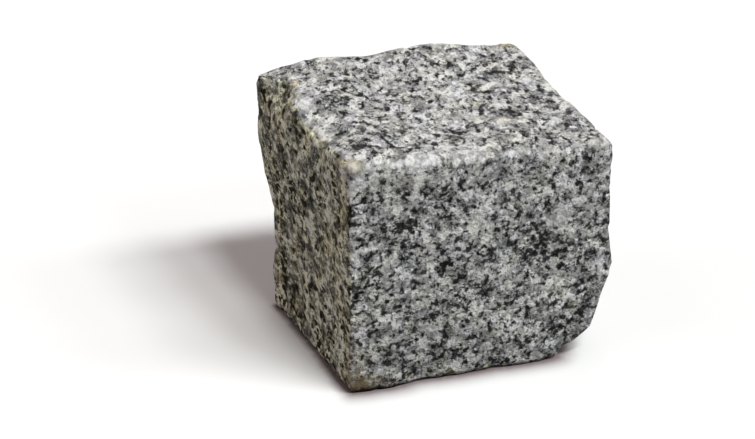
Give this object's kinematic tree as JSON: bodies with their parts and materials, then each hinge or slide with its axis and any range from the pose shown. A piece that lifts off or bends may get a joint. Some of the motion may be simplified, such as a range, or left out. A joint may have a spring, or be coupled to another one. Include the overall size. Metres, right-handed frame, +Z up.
{
  "type": "granite paving sett",
  "caption": "Hand-split block of grey granite with worn arrises, laid with its head up as one stone of a paved surface.",
  "frame": {"origin": "on the bed plane, under the middle of the block's outline seen from above", "axes": "+Z up from the flat bed to the head, -Y out of the front face, -X out of the left face"},
  "size_m": [0.1074, 0.1012, 0.0944],
  "materials": {
    "granite": "hand-split, matt, speckled black and white"
  },
  "bodies": {
    "root": {"sett": "granite"}
  },
  "joints": []
}
